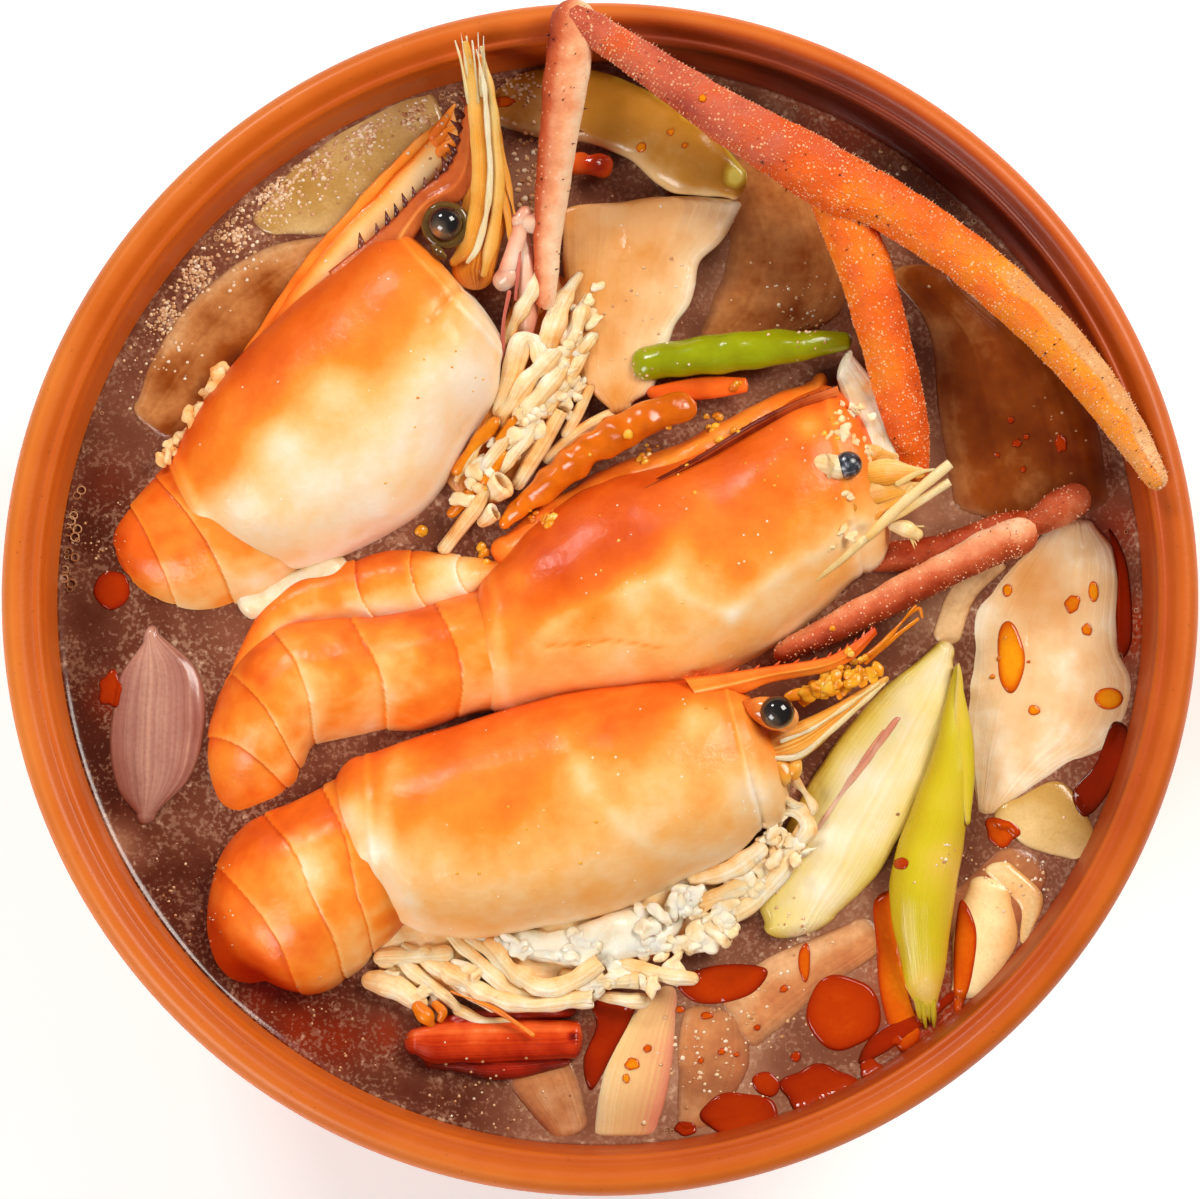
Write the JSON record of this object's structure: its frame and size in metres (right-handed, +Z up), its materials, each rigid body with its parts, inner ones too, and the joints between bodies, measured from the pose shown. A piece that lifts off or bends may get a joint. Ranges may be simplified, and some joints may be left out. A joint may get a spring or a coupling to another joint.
{
  "type": "tom yum soup in a bowl",
  "caption": "Hot and sour tom yum soup with whole river prawns, a pincer arm, mushroom, lemongrass, chillies and shallots, served in a round glazed terracotta bowl with a rolled rim.",
  "frame": {"origin": "centre of the bowl's flat foot, on the surface it stands on", "axes": "+Z up, +Y to the bowl's far side, +X to its right"},
  "size_m": [0.2, 0.2, 0.0861],
  "materials": {
    "terracotta": "glazed terracotta, wheel thrown, satin gloss",
    "broth": "murky brown broth with fat drops and red chilli oil",
    "shell": "boiled prawn shell, orange to cream, wet",
    "shell_pale": "thin translucent prawn plate, boiled",
    "eye": "glossy black eye",
    "leg_meat": "boiled leg shell and white meat, wet",
    "red_shell": "red tail fan, wet",
    "pincer": "boiled pincer with fine velvety grains",
    "dusky_leg": "dusky pink leg shell with fine spines",
    "mushroom": "boiled oyster mushroom, wet",
    "green_tomato": "boiled green tomato wedge",
    "green_chilli": "fresh green chilli, waxy",
    "brown_chilli": "boiled chilli, amber brown",
    "red_chilli": "cut red chilli, wet",
    "lemongrass_cut": "lemongrass stalk cut lengthwise",
    "lemongrass_skin": "outer lemongrass sheath, fibrous",
    "shallot": "boiled shallot, translucent with fine veins",
    "garlic": "boiled garlic clove"
  },
  "bodies": {
    "root": {"bowl": "terracotta", "broth": "broth", "prawn_1_carapace": "shell", "prawn_1_abdomen": "shell", "prawn_1_back_shell": "shell", "prawn_1_antenna_scale": "shell_pale", "prawn_1_eye": "eye", "prawn_1_legs": "leg_meat", "prawn_1_swimmerets": "leg_meat", "prawn_2_carapace": "shell", "prawn_2_abdomen": "shell", "prawn_2_back_shell": "shell", "prawn_2_curled_tail": "shell", "prawn_2_head_plate": "shell_pale", "prawn_2_antenna_scale": "shell_pale", "prawn_2_eye": "eye", "prawn_3_carapace": "shell", "prawn_3_abdomen": "shell", "prawn_3_antenna_scale": "shell_pale", "prawn_3_eye": "eye", "prawn_3_legs": "leg_meat", "prawn_3_tail_fan": "red_shell", "pincer_forearm": "pincer", "pincer_moving_finger": "pincer", "pincer_upper_arm": "dusky_leg", "front_leg_tip": "dusky_leg", "front_leg_upper": "dusky_leg", "oyster_mushroom_1": "mushroom", "oyster_mushroom_2": "mushroom", "oyster_mushroom_3": "mushroom", "oyster_mushroom_4": "mushroom", "oyster_mushroom_5": "mushroom", "green_tomato_wedge_1": "green_tomato", "green_tomato_wedge_2": "green_tomato", "green_tomato_wedge_3": "green_tomato", "green_chilli": "green_chilli", "brown_chilli": "brown_chilli", "chilli_strip": "red_chilli", "chilli_bit": "red_chilli", "lemongrass_half": "lemongrass_cut", "lemongrass_sheath": "lemongrass_skin", "shallot_1": "shallot", "shallot_2": "shallot", "garlic_clove_1": "garlic", "garlic_clove_2": "garlic"}
  },
  "joints": []
}
